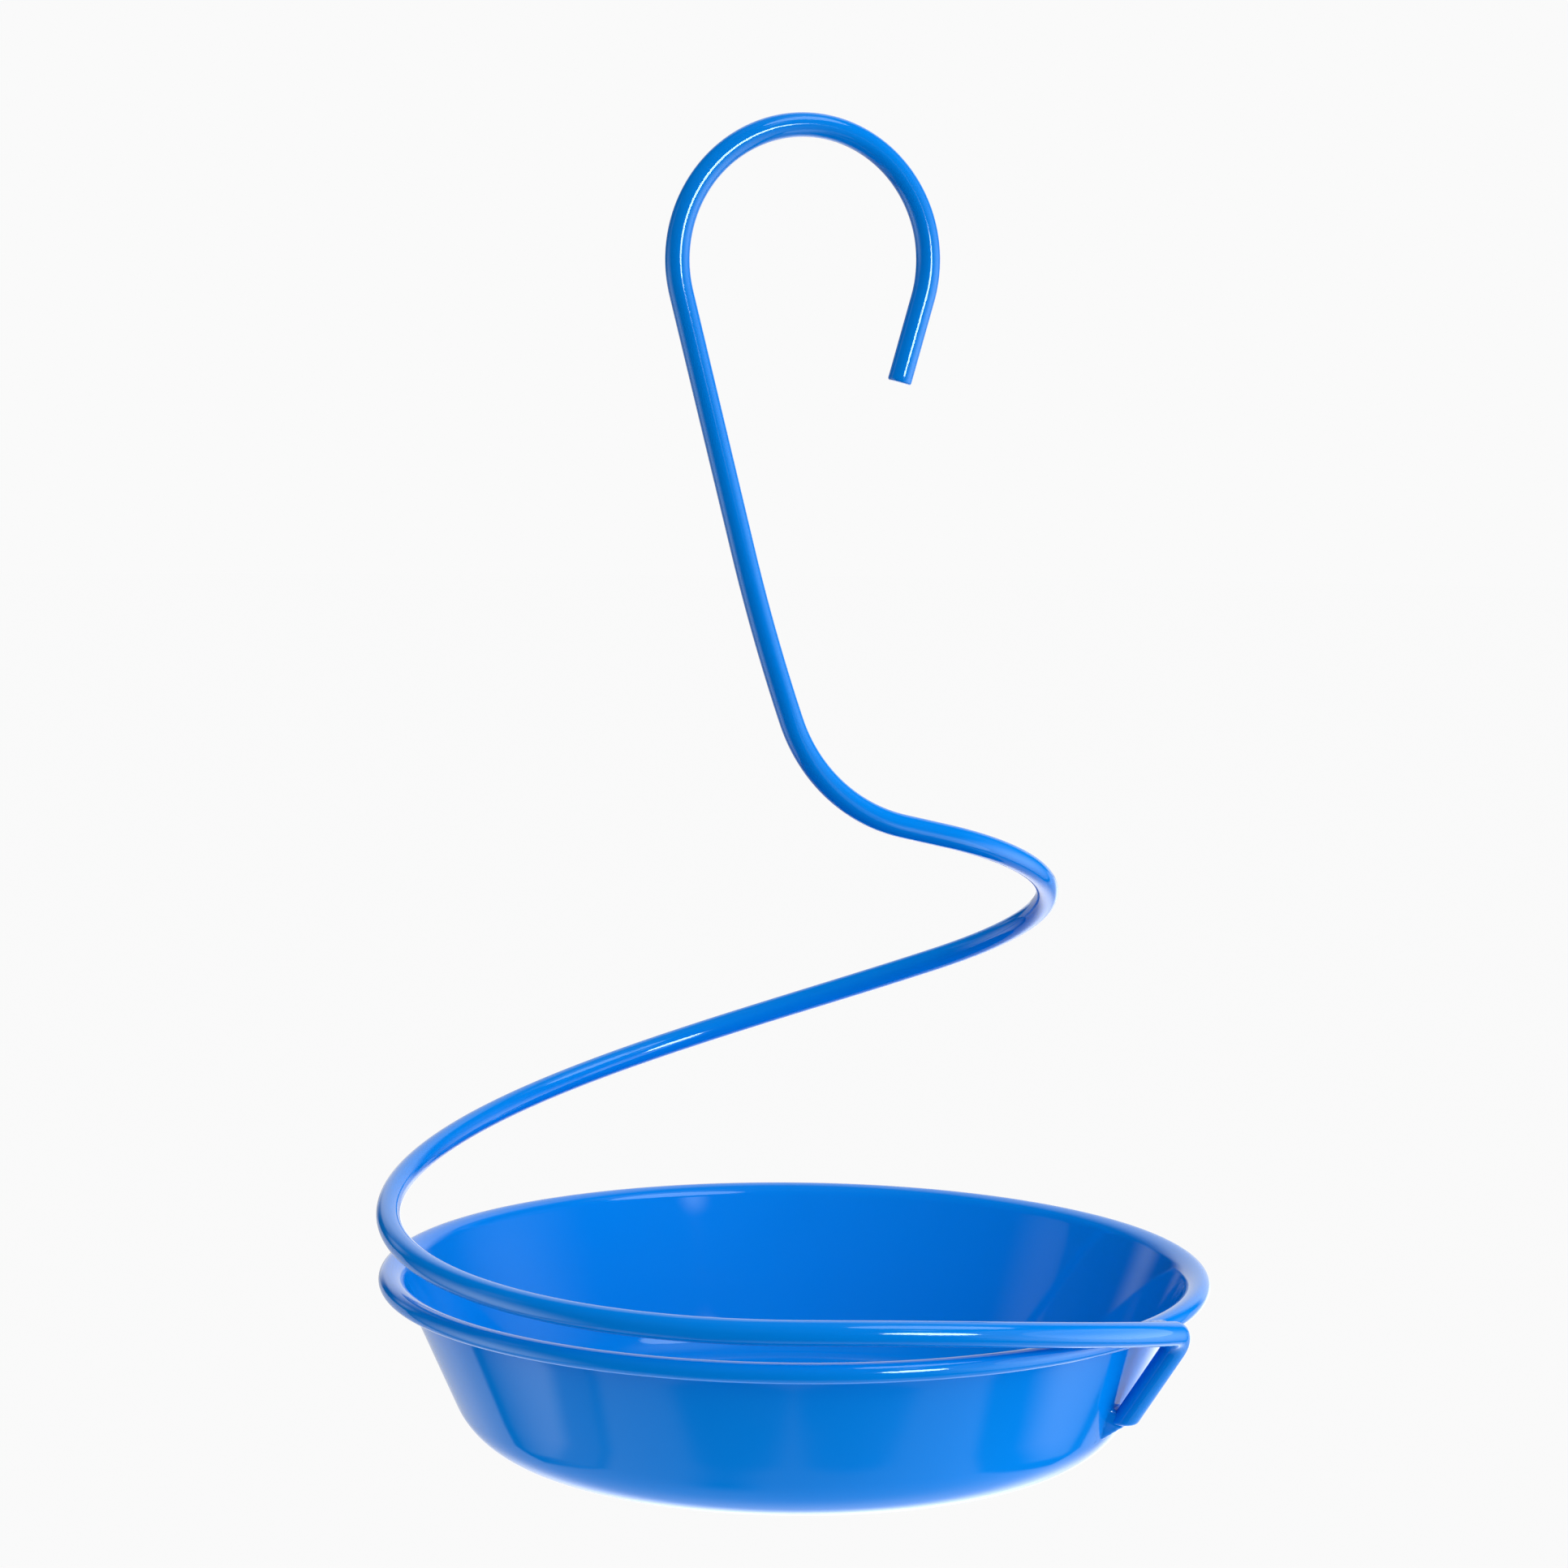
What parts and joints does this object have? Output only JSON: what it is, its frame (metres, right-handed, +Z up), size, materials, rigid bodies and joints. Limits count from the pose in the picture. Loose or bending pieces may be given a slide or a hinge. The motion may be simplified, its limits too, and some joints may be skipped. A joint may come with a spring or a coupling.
{
  "type": "mealworm bird feeder",
  "caption": "Hanging mealworm feeder: a shallow powder-coated steel bowl with a curled rim, welded to a rod hanger bent into a falling coil, a shank and an open hook.",
  "frame": {"origin": "centre of the underside of the bowl's flat base", "axes": "+Z up along the bowl's axis to the crown of the hook, -Y towards the front, where the rod runs over the rim as a perch, +X to the side where the rod comes down to the wall"},
  "size_m": [0.1654, 0.1658, 0.2625],
  "materials": {
    "bowl": "gloss powder coat",
    "hanger_rod": "gloss powder coat",
    "rim_weld": "gloss powder coat",
    "foot_weld": "gloss powder coat"
  },
  "bodies": {
    "root": {"bowl": "bowl", "hanger_rod": "hanger_rod", "rim_weld": "rim_weld", "foot_weld": "foot_weld"}
  },
  "joints": []
}
